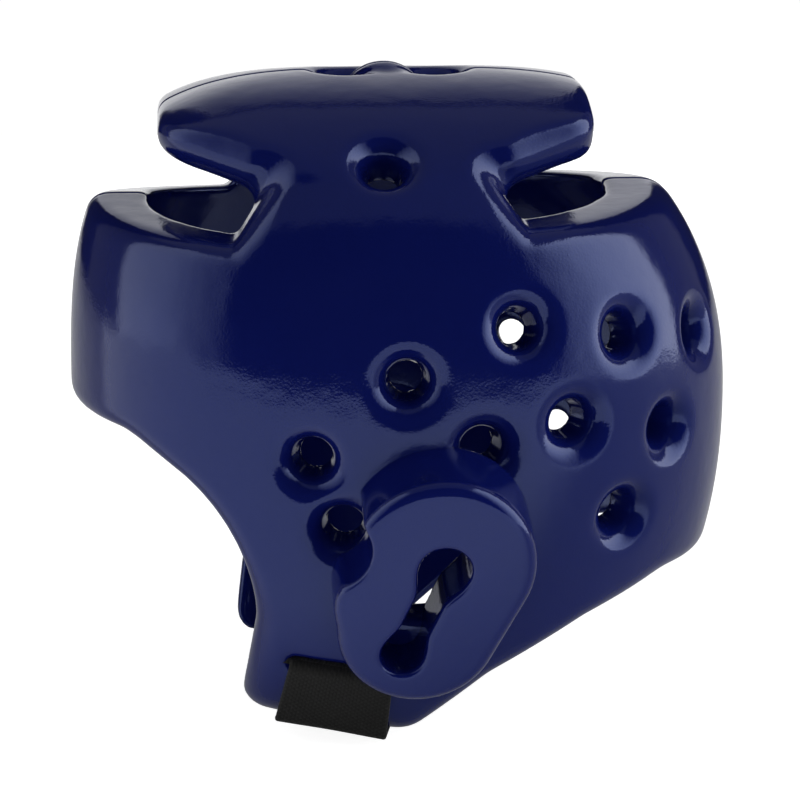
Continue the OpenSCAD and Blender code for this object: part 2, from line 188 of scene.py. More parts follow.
# Softness of the dipped foam: radii of its edges
EDGE_RADIUS = 5.5
JAW_EDGE_RADIUS = 9.0
JAW_EDGE_HEIGHTS = (-40.0, -75.0)
BAND_EDGE_RADIUS = 5.0
WING_EDGE_RADIUS = 12.0
WING_END_RADIUS = 3.0
WING_END_WIDTHS = (38.0, 64.0)
NECK_EDGE_RADIUS = 6.5
NECK_EDGE_REACH = 30.0
WING_UNDER_RADIUS = 6.0
INNER_EDGE_RADIUS = 2.5
NECK_CORNER = 4.0
NECK_TURN = -0.5
VENT_EDGE_RADIUS = 7.0
EAR_EDGE_RADIUS = 3.0
SLOT_EDGE_RADIUS = 1.5
SEAM_EDGE_RADIUS = 1.8
SEAM_HALF_GAP = 0.05
PAD_EDGE_RADIUS = 4.5
PAD_SLOT_RADIUS = 2.0
PAD_BITE_RADIUS = 1.2

# Fields: their steps, and how they are smoothed and turned into meshes
SHELL_STEP = 1.25
PAD_STEP = 1.0
SMOOTHING = (1, 4, 6, 4, 1)
FACE_PASSES = 3
EDGE_PASSES = 1
CORNER_STEPS = 8
FIELD_BAND = 3.0
SETTLE_PASSES = 3
SETTLE_SHARE = 0.8


# Sections of the shell

def smooth(t):
    c = np.clip(t, 0.0, 1.0)
    return c * c * (3.0 - 2.0 * c)


def squareness(low, high, z, depth):
    start = CROWN_BLEND_LOW - BLEND_DROP_LOW * depth
    end = CROWN_BLEND_HIGH - BLEND_DROP_HIGH * depth
    return low + (high - low) * smooth((z - start) / (end - start))


def shrink(z, middle, up, down, power):
    part = np.abs(z - middle) / np.where(z > middle, up, down)
    return np.maximum(1.0 - part ** power, 0.0) ** (1.0 / power)


def section(z, depth):
    """Half-width, front and rear length and squareness of the shell at a height, below its face."""
    up = CROWN_HEIGHT - EQUATOR - depth
    width = (SHELL_HALF_WIDTH - depth) * shrink(
        z, WIDEST_HEIGHT, CROWN_HEIGHT - WIDEST_HEIGHT - depth, LOWER_WIDTH_DEPTH, 2.0)
    front = (FRONT_REACH - depth) * shrink(
        z, EQUATOR, up, LOWER_FRONT_DEPTH, squareness(FRONT_SQUARENESS, CROWN_SQUARENESS, z, depth))
    rear = (REAR_REACH - depth) * shrink(
        z, EQUATOR, up, LOWER_REAR_DEPTH, squareness(REAR_SQUARENESS, CROWN_SQUARENESS, z, depth))
    return width, front, rear, squareness(PLAN_SQUARENESS, CROWN_PLAN_SQUARENESS, z, depth)


def face_x(y, z):
    width, front, rear, power = section(np.float64(z), 0.0)
    length = front if y < PLAN_CENTRE else rear
    return float(width * max(0.0, 1.0 - (abs(y - PLAN_CENTRE) / length) ** power) ** (1.0 / power))


def face_point(y, z):
    return np.array([face_x(y, z), y, z])


def unit(v):
    v = np.asarray(v, float)
    return v / np.linalg.norm(v)


def face_normal(y, z):
    return unit([2.0, face_x(y - 1, z) - face_x(y + 1, z), face_x(y, z - 1) - face_x(y, z + 1)])


# Distance to the shell's faces, from the length of rays out of its middle

RAY_MIDDLE = np.array([0.0, PLAN_CENTRE, EQUATOR])
RAY_STEP = math.radians(0.5)
RAY_SIDE = math.radians(110.0)
RAY_SPAN = (10.0, 300.0)
RAY_HALVINGS = 32
POLE_SINE = 0.03


def ray_table(depth):
    """Length of the rays to the shell's face, and how steeply they meet it, by polar angle and bearing."""
    polar = np.arange(0.0, math.pi + RAY_STEP, RAY_STEP)[:, None]
    bearing = np.arange(-RAY_SIDE, RAY_SIDE + RAY_STEP, RAY_STEP)[None, :]
    way = [np.sin(polar) * np.cos(bearing), np.sin(polar) * np.sin(bearing), np.cos(polar) + 0.0 * bearing]
    near = np.full(way[0].shape, RAY_SPAN[0])
    far = np.full(way[0].shape, RAY_SPAN[1])
    for _ in range(RAY_HALVINGS):
        middle = 0.5 * (near + far)
        x, y, z = (RAY_MIDDLE[k] + middle * way[k] for k in range(3))
        width, front, rear, power = section(z, depth)
        length = np.where(y < PLAN_CENTRE, front, rear)
        inside = ((np.abs(x) / np.maximum(width, 1e-3)) ** power
                  + (np.abs(y - PLAN_CENTRE) / np.maximum(length, 1e-3)) ** power) < 1.0
        near = np.where(inside, middle, near)
        far = np.where(inside, far, middle)
    along = np.gradient(near, RAY_STEP, axis=0) / near
    across = np.gradient(near, RAY_STEP, axis=1) / (near * np.maximum(np.sin(polar), POLE_SINE))
    return near, 1.0 / np.sqrt(1.0 + along ** 2 + across ** 2)


def sampled(table, row, column):
    r0 = np.clip(np.floor(row).astype(int), 0, table.shape[0] - 2)
    c0 = np.clip(np.floor(column).astype(int), 0, table.shape[1] - 2)
    fr = np.clip(row - r0, 0.0, 1.0)
    fc = np.clip(column - c0, 0.0, 1.0)
    low = table[r0, c0] * (1 - fc) + table[r0, c0 + 1] * fc
    high = table[r0 + 1, c0] * (1 - fc) + table[r0 + 1, c0 + 1] * fc
    return low * (1 - fr) + high * fr


def ray_distance(tables, x, y, z):
    """Distance of points outside a face of the shell, negative inside it."""
    dx, dy, dz = x - RAY_MIDDLE[0], y - RAY_MIDDLE[1], z - RAY_MIDDLE[2]
    length = np.sqrt(dx * dx + dy * dy + dz * dz)
    row = np.arccos(np.clip(dz / np.maximum(length, 1e-6), -1, 1)) / RAY_STEP
    column = (np.arctan2(dy, dx) + RAY_SIDE) / RAY_STEP
    return (length - sampled(tables[0], row, column)) * sampled(tables[1], row, column)


OUTER_RAYS = ray_table(0.0)
INNER_RAYS = ray_table(WALL)


# Fields: distances that are negative inside a shape

def round_max(a, b, radius):
    """Overlap of two shapes, with a round edge."""
    u = np.maximum(a + radius, 0.0)
    v = np.maximum(b + radius, 0.0)
    return np.minimum(np.maximum(a, b), -radius) + np.sqrt(u * u + v * v)


def round_min(a, b, radius):
    """Union of two shapes, with a round inner corner."""
    return -round_max(-a, -b, radius)


def round_wedge(a, b, radius, turn):
    """Overlap with a round edge; turn is the cosine of the angle between the shapes' outward ways."""
    u = a + radius
    v = b + radius
    corner = np.sqrt(np.maximum(u * u + v * v - 2.0 * turn * u * v, 0.0) / (1.0 - turn * turn))
    at_corner = (u > turn * v) & (v > turn * u)
    return np.where(at_corner, corner, np.maximum(u, v)) - radius


def softened(field, passes):
    """The field, averaged with its neighbours along each axis."""
    reach = len(SMOOTHING) // 2
    for _ in range(passes):
        for axis in range(3):
            count = field.shape[axis]
            padded = np.pad(field, [(reach, reach) if k == axis else (0, 0) for k in range(3)], mode="edge")
            total = 0.0
            for shift, weight in enumerate(SMOOTHING):
                neighbours = np.take(padded, np.arange(shift, shift + count), axis=axis)
                total = total + weight / sum(SMOOTHING) * neighbours
            field = total
    return field


def polygon_field(points, a, b):
    """Distance to a closed outline in a plane."""
    points = np.asarray(points, float)
    nearest = np.full(np.broadcast(a, b).shape, 1e9)
    inside = np.zeros(nearest.shape, bool)
    for p, q in zip(points, np.roll(points, -1, axis=0)):
        along = q - p
        t = np.clip(((a - p[0]) * along[0] + (b - p[1]) * along[1]) / (along @ along), 0, 1)
        away = (a - p[0] - t * along[0]) ** 2 + (b - p[1] - t * along[1]) ** 2
        nearest = np.minimum(nearest, away)
        if p[1] != q[1]:
            crosses = (p[1] > b) != (q[1] > b)
            inside ^= crosses & (a < p[0] + (b - p[1]) * along[0] / along[1])
    return np.where(inside, -1.0, 1.0) * np.sqrt(nearest)


def rounded_outline(corners, steps=CORNER_STEPS):
    """Outline from corners given as (a, b, radius)."""
    points = []
    count = len(corners)
    for i, (a, b, radius) in enumerate(corners):
        here = np.array([a, b])
        if radius == 0:
            points.append(here)
            continue
        u = unit(np.array(corners[i - 1][:2]) - here)
        v = unit(np.array(corners[(i + 1) % count][:2]) - here)
        half = math.acos(float(u @ v)) / 2
        middle = here + unit(u + v) * radius / math.sin(half)
        start = here + u * radius / math.tan(half) - middle
        end = here + v * radius / math.tan(half) - middle
        for k in range(steps + 1):
            points.append(middle + radius * unit(start + (end - start) * k / steps))
    return points


def two_circle_field(first, second, a, b):
    """Distance to the outline round two circles given as (a, b, radius)."""
    along = np.array(second[:2]) - np.array(first[:2])
    length = float(np.linalg.norm(along))
    along = along / length
    s = (a - first[0]) * along[0] + (b - first[1]) * along[1]
    t = np.abs((a - first[0]) * along[1] - (b - first[1]) * along[0])
    sine = (first[2] - second[2]) / length
    cosine = math.sqrt(1 - sine * sine)
    shift = np.clip((s - t * sine / cosine) / length, 0, 1)
    return np.hypot(s - shift * length, t) - (first[2] + (second[2] - first[2]) * shift)


# Places of the ear pad and of the strap

PAD_AXIS = np.array([math.cos(PAD_TILT), 0.0, -math.sin(PAD_TILT)])
PAD_UP = np.array([math.sin(PAD_TILT), 0.0, math.cos(PAD_TILT)])
PAD_BACK = np.array([0.0, 1.0, 0.0])
PAD_FACE = face_point(*PAD_PLACE) + PAD_THICKNESS * PAD_AXIS

TOE_HEIGHT = CHEEK_BOTTOM + TOE_SHARE * SLOT_RISE
TOE_SPAN = STRAP_WIDTH / 4
TOE_REAR = face_x(STRAP_MIDDLE + TOE_SPAN, TOE_HEIGHT)
TOE_FRONT = face_x(STRAP_MIDDLE - TOE_SPAN, TOE_HEIGHT)
STRAP_TOE = math.atan((TOE_REAR - TOE_FRONT) / (2 * TOE_SPAN))
STRAP_FOOT = face_point(STRAP_MIDDLE, CHEEK_BOTTOM)
STRAP_TURN = np.array(Matrix.Rotation(-CHEEK_SLOPE, 3, "X") @ Matrix.Rotation(-STRAP_TOE, 3, "Z"))
SLOT_BACK = STRAP_MIDDLE + SLOT_RISE * math.sin(CHEEK_SLOPE)
SLOT_FACE = face_x(SLOT_BACK, CHEEK_BOTTOM + SLOT_RISE * math.cos(CHEEK_SLOPE))
SLOT_OUT = (SLOT_FACE - STRAP_FOOT[0]) * math.cos(STRAP_TOE)


def cheek_edge(y):
    return CHEEK_BOTTOM - math.tan(CHEEK_SLOPE) * (y - STRAP_MIDDLE)


def face_outline():
    """Outline of what is cut away below the shell: face opening, jaw and nape, as (back, height)."""
    brow = []
    for k in range(BROW_STEPS + 1):
        angle = math.radians(90 * k / BROW_STEPS)
        back = BROW_START + (CHEEK_FRONT - BROW_START) * math.cos(angle) ** (2 / BROW_SQUARENESS)
        height = EYE_MIDDLE + (BAND_BOTTOM - EYE_MIDDLE) * math.sin(angle) ** (2 / BROW_SQUARENESS)
        brow.append((back, height + BROW_LIFT * smooth((BROW_LIFT_START - back) / BROW_LIFT_SPAN), 0))
    jaw_front = CHEEK_FRONT - JAW_FLARE
    return rounded_outline(
        [(-REACH, -REACH, 0), (REACH, -REACH, 0), (REACH, NAPE_HEIGHT, 0),
         (NAPE_START[0], NAPE_HEIGHT, NAPE_START[1]), NAPE_SLANT, JAW_SLANT,
         (JAW_REAR[0], cheek_edge(JAW_REAR[0]), JAW_REAR[1]),
         (jaw_front, cheek_edge(jaw_front) - JAW_DROP, JAW_FRONT_RADIUS)]
        + brow + [(-REACH, BAND_BOTTOM + BAND_LIFT, 0)])


def wing_outline():
    """Outline of the crown bar, as (distance down the slant, distance back)."""
    low = WING_TAPER / 2
    tip = -low
    return rounded_outline(
        [(-REACH, CROWN_FRONT, 0), (tip - WING_FRONT_RISE, CROWN_FRONT, WING_TIP_RADIUS),
         (low, NECK_FRONT - WING_CORNER, WING_CORNER),
         (low, NECK_REAR + WING_CORNER, WING_CORNER),
         (tip, CROWN_REAR, WING_CORNER), (-REACH, CROWN_REAR, 0)])


def wing_field(x, y, z):
    """The crown bar: inside its outline, and above its underside, which rises towards the ends."""
    down = (x - WING_HALF_WIDTH) * math.cos(WING_SLANT) - (z - WING_HEIGHT) * math.sin(WING_SLANT)
    bar = polygon_field(wing_outline(), down, y)
    under = WING_HEIGHT - WALL * math.cos(WING_SLANT)
    rise = WING_TAPER / 2 * math.sin(WING_SLANT)
    back = (CROWN_FRONT, NECK_FRONT - WING_CORNER, NECK_REAR + WING_CORNER, CROWN_REAR)
    front_rise = rise + WING_FRONT_RISE * math.sin(WING_SLANT)
    underside = np.interp(y, back, (under + front_rise, under - rise, under - rise, under + rise))
    return round_max(bar, underside - z, WING_UNDER_RADIUS)


def gap_field(x, y, z, wing, top, fall, neck, side):
    """The gap between the crown's wing and the band, before (side -1) or behind (side 1) the neck."""
    above = top - fall * np.abs(x) - z
    neck_line = neck + side * NECK_FLARE * (NECK_HEIGHT - z)
    beyond = -side * (y - neck_line) / math.hypot(1.0, NECK_FLARE)
    gap = np.maximum(round_wedge(beyond, -wing, NECK_CORNER, NECK_TURN), above)
    outward = smooth((np.abs(x) - WING_END_WIDTHS[0]) / (WING_END_WIDTHS[1] - WING_END_WIDTHS[0]))
    edge = WING_END_RADIUS + (WING_EDGE_RADIUS - WING_END_RADIUS) * outward
    upper = NECK_EDGE_RADIUS + (edge - NECK_EDGE_RADIUS) * smooth(-beyond / NECK_EDGE_REACH)
    radius = BAND_EDGE_RADIUS + (upper - BAND_EDGE_RADIUS) * smooth(-above / BAND_EDGE_RADIUS)
    return gap, radius


def bump_field(x, y, z):
    """Low boss on the crown between its two vents."""
    away = [(v - middle) / size for v, middle, size in zip((x, y, z), BUMP_MIDDLE, BUMP_SIZE)]
    return (np.sqrt(away[0] ** 2 + away[1] ** 2 + away[2] ** 2) - 1.0) * min(BUMP_SIZE)


def cone_field(x, y, z, point, way, radius):
    """A vent that narrows from the face inwards, and ends before the other side of the shell."""
    dx, dy, dz = x - point[0], y - point[1], z - point[2]
    along = dx * way[0] + dy * way[1] + dz * way[2]
    away = np.sqrt(np.maximum(dx * dx + dy * dy + dz * dz - along * along, 0.0))
    return np.maximum(away - radius - VENT_TAPER * np.clip(along, -2 * WALL, 0), np.abs(along) - 2 * WALL)


def vent_field(x, y, z):
    """All the vents that the left half reaches."""
    vents = [(face_point(*place), face_normal(*place), VENT_RADIUS) for place in SIDE_VENTS]
    vents += [((0, back, CROWN_HEIGHT), (0, 0, 1), MIDDLE_VENT_RADIUS) for back in CROWN_VENTS]
    vents.append(((0, REAR_REACH, REAR_VENT_HEIGHT), (0, 1, 0), MIDDLE_VENT_RADIUS))
    nearest = 1e9
    for point, way, radius in vents:
        nearest = np.minimum(nearest, cone_field(x, y, z, point, way, radius))
    return nearest


def half_shell_field(x, y, z):
    """The left half of the shell, with its openings and round edges."""
    outer = softened(ray_distance(OUTER_RAYS, x, y, z), FACE_PASSES)
    inner = softened(ray_distance(INNER_RAYS, x, y, z), FACE_PASSES)
    face = polygon_field(face_outline(), y[0], z[0])[None]
    start, end = JAW_EDGE_HEIGHTS
    jaw = smooth((start - z) / (start - end)) * smooth(-y / WALL)
    body = round_max(outer, -face, EDGE_RADIUS + (JAW_EDGE_RADIUS - EDGE_RADIUS) * jaw)
    wing = wing_field(x, y, z)
    for top, fall, neck, side in ((BAND_TOP, BAND_FALL, NECK_FRONT, -1), (REAR_TOP, REAR_FALL, NECK_REAR, 1)):
        gap, radius = gap_field(x, y, z, wing, top, fall, neck, side)
        body = round_max(body, -gap, radius)
    body = round_max(body, -inner, INNER_EDGE_RADIUS)
    body = np.maximum(body, round_max(outer, -vent_field(x, y, z), VENT_EDGE_RADIUS))
    body = round_max(body, -ear_field(x, y, z), EAR_EDGE_RADIUS)
    body = round_max(body, -strap_slot_field(x, y, z), SLOT_EDGE_RADIUS)
    body = round_min(softened(body, EDGE_PASSES), bump_field(x, y, z), BUMP_BLEND)
    return round_max(body, SEAM_HALF_GAP - x, SEAM_EDGE_RADIUS)


def ear_field(x, y, z):
    """The opening over the ear, behind the pad."""
    up = (x - PAD_FACE[0]) * PAD_UP[0] + (z - PAD_FACE[2]) * PAD_UP[2]
    a = np.abs(y - PAD_FACE[1] - EAR_MIDDLE[0]) - EAR_SIZE[0] / 2
    b = np.abs(up - EAR_MIDDLE[1]) - EAR_SIZE[1] / 2
    return round_max(a, b, EAR_CORNER)


def strap_slot_field(x, y, z):
    """The slot that the strap runs through."""
    dx, dy, dz = x - STRAP_FOOT[0], y - STRAP_FOOT[1], z - STRAP_FOOT[2]
    out, across, up = (dx * way[0] + dy * way[1] + dz * way[2] for way in STRAP_TURN.T)
    half = (STRAP_WIDTH + SLOT_SPARE - FRONT_DRAWN) / 2
    low = np.abs(up - SLOT_RISE) - SLOT_HEIGHT / 2
    slot = round_max(np.abs(across - FRONT_DRAWN / 2) - half, low, SLOT_CORNER)
    return np.maximum(slot, np.abs(out - SLOT_OUT) - 2 * WALL)


# Meshes from fields

def trilinear(field, index):
    low = np.clip(np.floor(index).astype(int), 0, np.array(field.shape) - 2)
    part = index - low
    total = 0.0
    for corner in np.ndindex(2, 2, 2):
        at = low + np.array(corner)
        weight = np.prod(np.where(np.array(corner) == 1, part, 1 - part), axis=1)
        total = total + weight * field[at[:, 0], at[:, 1], at[:, 2]]
    return total


def field_mesh(field, origin, step):
    """Points, outward directions and faces of a field's surface, in the field's own millimetres."""
    band = FIELD_BAND * step
    grid = openvdb.FloatGrid(band)
    grid.copyFromArray(np.clip(field, -band, band).astype(np.float32))
    points, quads = grid.convertToQuads(0.0)
    points = points.astype(float)
    slopes = np.gradient(field)
    for _ in range(SETTLE_PASSES):
        way = np.stack([trilinear(s, points) for s in slopes], axis=1)
        steep = np.maximum((way ** 2).sum(1), 1e-6)
        points -= (trilinear(field, points) / steep)[:, None] * way * SETTLE_SHARE
    way = np.stack([trilinear(s, points) for s in slopes], axis=1)
    way /= np.linalg.norm(way, axis=1)[:, None]
    return origin + step * points, way, quads


def add_object(name, mesh, material):
    mesh.materials.append(material)
    piece = bpy.data.objects.new(name, mesh)
    bpy.context.collection.objects.link(piece)
    return piece


def add_mesh(name, points, way, faces, material):
    """Smooth mesh object from points in millimetres, outward directions and faces."""
    mesh = bpy.data.meshes.new(name)
    a, b, c = (points[faces[:, k]] for k in range(3))
    turned = (np.einsum("ij,ij->i", np.cross(b - a, c - a), way[faces[:, 0]])).sum() < 0
    faces = faces[:, ::-1] if turned else faces
    mesh.from_pydata((points * MM).tolist(), [], faces.tolist())
    mesh.shade_smooth()
    mesh.normals_split_custom_set_from_vertices(way.tolist())
    return add_object(name, mesh, material)


def field_axes(low, high, step):
    return np.meshgrid(*(np.arange(a, b + step, step) for a, b in zip(low, high)), indexing="ij")


MIRROR = np.array([-1.0, 1.0, 1.0])


def add_both(name, points, way, faces, material, nodes):
    """The left piece and its mirror image on the right, standing for the CAD nodes of each side."""
    for side, turn in (("left", 1), ("right", MIRROR)):
        piece = add_mesh(f"{side}_{name}", points * turn, way * turn, faces, material)
        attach(piece, "guard")
        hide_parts(*(f"{side}_{node}" for node in nodes))


# Materials: their colours, and their sizes in metres

VINYL_DEEP = (0.0029, 0.0058, 0.076)
VINYL_LIGHT = (0.0036, 0.0071, 0.091)
VINYL_SHEEN = (0.44, 0.55, 1.0)
VINYL_IOR = 1.6
VINYL_ROUGHNESS = (0.06, 0.12)
CLOUD_SCALE = 28.0
SMEAR_SCALE = 55.0
PEEL_SCALE = 1100.0
PEEL_DEPTH = 0.00004
WAVE_SCALE = 60.0
WAVE_DEPTH = 0.0003
SPECK_SCALE = 85.0
SPECK_EDGES = (0.015, 0.035)
SPECK_CHANCE = 0.7
SPECK_DEPTH = 0.00005

# Webbing: the dark colour is painted shade in the weave's valleys, the light one painted light on its crests
WEBBING_DARK = (0.004, 0.004, 0.0038)
WEBBING_LIGHT = (0.0084, 0.0083, 0.008)
WEBBING_ROUGHNESS = (0.7, 0.95)
WEBBING_GLOSS = 0.3
WEBBING_SHEEN = 0.08
WEBBING_SHEEN_ROUGHNESS = 0.5
RIB_PITCH = 0.0013
WEFT_PITCH = 0.0017
CROSSING_SHARE = 0.6
RIB_DEPTH = 0.0002
FUZZ_SCALE = 2600.0
FUZZ_DEPTH = 0.0001
WEAR_SCALE = 90.0
WEAR_SHADES = (0.4, 1.0)

# Hook tape: the light colour is painted light on the hooks, the dark one painted shade on the ground between
# them
HOOK_DARK = (0.004, 0.004, 0.004)
HOOK_LIGHT = (0.03, 0.03, 0.029)
HOOK_ROUGHNESS = 0.45
HOOK_PITCHES = (0.0014, 0.001)
HOOK_SCALE = 900.0
HOOK_SHADES = (0.6, 1.0)
HOOK_DEPTH = 0.0005

LOOP_DARK = (0.005, 0.005, 0.005)
LOOP_LIGHT = (0.022, 0.022, 0.021)
LOOP_ROUGHNESS = 0.95
LOOP_SHEEN = 0.3
PILE_SCALE = 1400.0
TUFT_SCALE = 320.0
PILE_DEPTH = 0.0004

# Thread: the dark and light colours are painted shade and light along the twist of its plies
THREAD_DARK = (0.006, 0.006, 0.006)
THREAD_LIGHT = (0.03, 0.03, 0.028)
THREAD_ROUGHNESS = 0.55
TWIST_SCALE = 700.0
TWIST_DEPTH = 0.00006

GLUE_DARK = (0.32, 0.24, 0.11)
GLUE_LIGHT = (0.5, 0.42, 0.24)
GLUE_ROUGHNESS = (0.35, 0.6)
GLUE_SCALE = 160.0
GLUE_DEPTH = 0.0002

SOME_DETAIL = 3.0
FINE_DETAIL = 4.0
NOISE_LOW = 0.3
NOISE_HIGH = 0.7


def node_material(name):
    material = bpy.data.materials.new(name)
    material.use_nodes = True
    tree = material.node_tree
    return material, tree, tree.nodes["Principled BSDF"]


def add_node(tree, kind, **inputs):
    """Node with its inputs set: a socket is linked, anything else is a value."""
    node = tree.nodes.new(kind)
    for key, value in inputs.items():
        socket = node.inputs[key.replace("_", " ")]
        if isinstance(value, bpy.types.NodeSocket):
            tree.links.new(value, socket)
        else:
            socket.default_value = value
    return node


def worked_out(tree, operation, *values):
    """Socket with the result of one sum."""
    node = tree.nodes.new("ShaderNodeMath")
    node.operation = operation
    for socket, value in zip(node.inputs, values):
        if isinstance(value, bpy.types.NodeSocket):
            tree.links.new(value, socket)
        else:
            socket.default_value = value
    return node.outputs["Value"]


def noise(tree, place, scale, detail=2.0):
    return add_node(tree, "ShaderNodeTexNoise", Vector=place, Scale=scale, Detail=detail).outputs["Fac"]


def between(tree, factor, low, high, from_low=NOISE_LOW, from_high=NOISE_HIGH):
    """A number from low to high as a noise goes from its lower to its upper values."""
    node = add_node(tree, "ShaderNodeMapRange", Value=factor,
                    From_Min=from_low, From_Max=from_high, To_Min=low, To_Max=high)
    return node.outputs["Result"]


def raised_sine(tree, angle):
    """Sine of an angle, moved to lie between 0 and 1."""
    return worked_out(tree, "MULTIPLY_ADD", worked_out(tree, "SINE", angle), 0.5, 0.5)


def coloured(tree, surface, factor, dark, light):
    """Base colour that goes from one colour to another with a factor."""
    node = tree.nodes.new("ShaderNodeMix")
    node.data_type = "RGBA"
    tree.links.new(factor, node.inputs[0])
    node.inputs[6].default_value = (*dark, 1)
    node.inputs[7].default_value = (*light, 1)
    tree.links.new(node.outputs[2], surface.inputs["Base Color"])


def bumped(tree, surface, heights):
    """Bump from heights given as (socket, depth in metres)."""
    normal = None
    for height, depth in heights:
        node = add_node(tree, "ShaderNodeBump", Height=height, Distance=depth)
        if normal:
            tree.links.new(normal, node.inputs["Normal"])
        normal = node.outputs["Normal"]
    tree.links.new(normal, surface.inputs["Normal"])


def object_place(tree):
    return tree.nodes.new("ShaderNodeTexCoord").outputs["Object"]


def weave_place(tree):
    """Distances across and along the webbing, in metres."""
    node = tree.nodes.new("ShaderNodeUVMap")
    node.uv_map = "weave"
    apart = add_node(tree, "ShaderNodeSeparateXYZ", Vector=node.outputs["UV"])
    return node.outputs["UV"], apart.outputs["X"], apart.outputs["Y"]


def vinyl():
    """Glossy dipped vinyl: orange peel, slow waves, a few dust specks and smears."""
    material, tree, surface = node_material("dipped_vinyl")
    place = object_place(tree)
    coloured(tree, surface, noise(tree, place, CLOUD_SCALE), VINYL_DEEP, VINYL_LIGHT)
    smears = noise(tree, place, SMEAR_SCALE, FINE_DETAIL)
    tree.links.new(between(tree, smears, *VINYL_ROUGHNESS), surface.inputs["Roughness"])
    surface.inputs["IOR"].default_value = VINYL_IOR
    surface.inputs["Specular Tint"].default_value = (*VINYL_SHEEN, 1)
    speck = add_node(tree, "ShaderNodeTexVoronoi", Vector=place, Scale=SPECK_SCALE)
    chance = add_node(tree, "ShaderNodeSeparateXYZ", Vector=speck.outputs["Color"]).outputs["X"]
    near = between(tree, speck.outputs["Distance"], 1.0, 0.0, *SPECK_EDGES)
    specks = worked_out(tree, "MULTIPLY", near, worked_out(tree, "GREATER_THAN", chance, SPECK_CHANCE))
    peel = noise(tree, place, PEEL_SCALE)
    waves = noise(tree, place, WAVE_SCALE)
    bumped(tree, surface, [(peel, PEEL_DEPTH), (waves, WAVE_DEPTH), (specks, SPECK_DEPTH)])
    return material


def webbing():
    """Woven black webbing: ribs along it, each passing over and under the threads across it, with shade
    painted into its valleys.
    """
    material, tree, surface = node_material("webbing")
    place, across, along = weave_place(tree)
    ribs = worked_out(tree, "MULTIPLY", across, 1.0 / RIB_PITCH)
    rib = worked_out(tree, "FLOOR", ribs)
    inside = worked_out(tree, "FRACT", ribs)
    rounded = worked_out(tree, "SINE", worked_out(tree, "MULTIPLY", inside, math.pi))
    offset = worked_out(tree, "MULTIPLY", rib, math.pi)
    turn = worked_out(tree, "MULTIPLY_ADD", along, 2 * math.pi / WEFT_PITCH, offset)
    level = worked_out(tree, "MULTIPLY_ADD", raised_sine(tree, turn), CROSSING_SHARE, 1.0 - CROSSING_SHARE)
    height = worked_out(tree, "MULTIPLY", rounded, level)
    fuzz = noise(tree, place, FUZZ_SCALE, SOME_DETAIL)
    worn = between(tree, noise(tree, place, WEAR_SCALE, SOME_DETAIL), *WEAR_SHADES)
    # Painted shade: the colour goes dark in the weave's valleys and light on its crests, following the bump's
    # height, times real wear
    coloured(tree, surface, worked_out(tree, "MULTIPLY", height, worn), WEBBING_DARK, WEBBING_LIGHT)
    tree.links.new(between(tree, fuzz, *WEBBING_ROUGHNESS), surface.inputs["Roughness"])
    surface.inputs["Specular IOR Level"].default_value = WEBBING_GLOSS
    surface.inputs["Sheen Weight"].default_value = WEBBING_SHEEN
    surface.inputs["Sheen Roughness"].default_value = WEBBING_SHEEN_ROUGHNESS
    bumped(tree, surface, [(height, RIB_DEPTH), (fuzz, FUZZ_DEPTH)])
    return material


def hooks():
    """Hook tape: rows of small stiff hooks on a flat ground, with light on the hooks and shade on the ground
    painted into the colour.
    """
    material, tree, surface = node_material("hook_tape")
    place, across, along = weave_place(tree)
    rows = [raised_sine(tree, worked_out(tree, "MULTIPLY", way, 2 * math.pi / pitch))
            for way, pitch in zip((across, along), HOOK_PITCHES)]
    spot = worked_out(tree, "MULTIPLY", *rows)
    shades = between(tree, noise(tree, place, HOOK_SCALE), *HOOK_SHADES)
    uneven = worked_out(tree, "MULTIPLY", spot, shades)
    # Painted light and shade: each hook's spot is lighter and the ground between darker, following the bump's
    # height; the noise adds real uneven tone
    coloured(tree, surface, uneven, HOOK_DARK, HOOK_LIGHT)
    surface.inputs["Roughness"].default_value = HOOK_ROUGHNESS
    bumped(tree, surface, [(uneven, HOOK_DEPTH)])
    return material


def loops():
    """Loop tape: a low brushed pile."""
    material, tree, surface = node_material("loop_tape")
    place = weave_place(tree)[0]
    pile = noise(tree, place, PILE_SCALE, FINE_DETAIL)
    tufts = noise(tree, place, TUFT_SCALE, SOME_DETAIL)
    coloured(tree, surface, tufts, LOOP_DARK, LOOP_LIGHT)
    surface.inputs["Roughness"].default_value = LOOP_ROUGHNESS
    surface.inputs["Sheen Weight"].default_value = LOOP_SHEEN
    bumped(tree, surface, [(pile, PILE_DEPTH), (tufts, PILE_DEPTH)])
    return material


def thread():
    """Twisted black sewing thread, with the light and shade of its twist painted into the colour."""
    material, tree, surface = node_material("thread")
    twist = add_node(tree, "ShaderNodeTexWave", Vector=object_place(tree), Scale=TWIST_SCALE)
    twist.bands_direction = "DIAGONAL"
    ply = twist.outputs["Fac"]
    # Painted shade: the colour goes dark in the grooves of the twist and light on its plies, the same bands
    # as the bump
    coloured(tree, surface, ply, THREAD_DARK, THREAD_LIGHT)
    surface.inputs["Roughness"].default_value = THREAD_ROUGHNESS
    bumped(tree, surface, [(ply, TWIST_DEPTH)])
    return material


def glue():
    """Dried contact glue: amber, uneven and slightly cloudy."""
    material, tree, surface = node_material("glue")
    cloud = noise(tree, object_place(tree), GLUE_SCALE, FINE_DETAIL)
    coloured(tree, surface, cloud, GLUE_DARK, GLUE_LIGHT)
    tree.links.new(between(tree, cloud, *GLUE_ROUGHNESS), surface.inputs["Roughness"])
    bumped(tree, surface, [(cloud, GLUE_DEPTH)])
    return material


VINYL = vinyl()
WEBBING = webbing()
HOOKS = hooks()
LOOPS = loops()
STITCHES = thread()
GLUE = glue()
for name, node in frame["nodes"].items():
    node.data.materials.clear()
    node.data.materials.append(GLUE if "glue" in name else WEBBING)


# Shell halves

